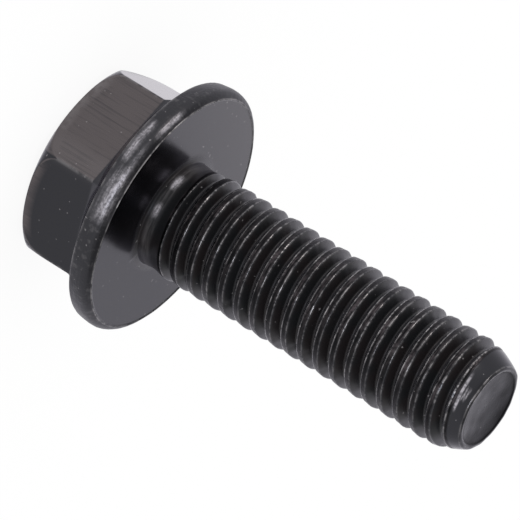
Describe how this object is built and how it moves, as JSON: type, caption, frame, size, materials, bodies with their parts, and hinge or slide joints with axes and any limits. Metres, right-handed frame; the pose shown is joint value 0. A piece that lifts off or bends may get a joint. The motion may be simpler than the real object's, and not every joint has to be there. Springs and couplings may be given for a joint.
{
  "type": "flange bolt",
  "caption": "Hexagon head bolt with a built-in round flange and a fully threaded metric shank, in blackened steel.",
  "frame": {"origin": "centre of the head's flat top face, on which the bolt stands", "axes": "+Z along the bolt's axis from the head to the tip; two flats of the hexagon face +Y and -Y"},
  "size_m": [0.0138, 0.0138, 0.0258],
  "materials": {
    "blackened_steel": "black oxide over cold-formed steel, lightly oiled, worn bright at the edges"
  },
  "bodies": {
    "root": {"flange_bolt": "blackened_steel"}
  },
  "joints": []
}
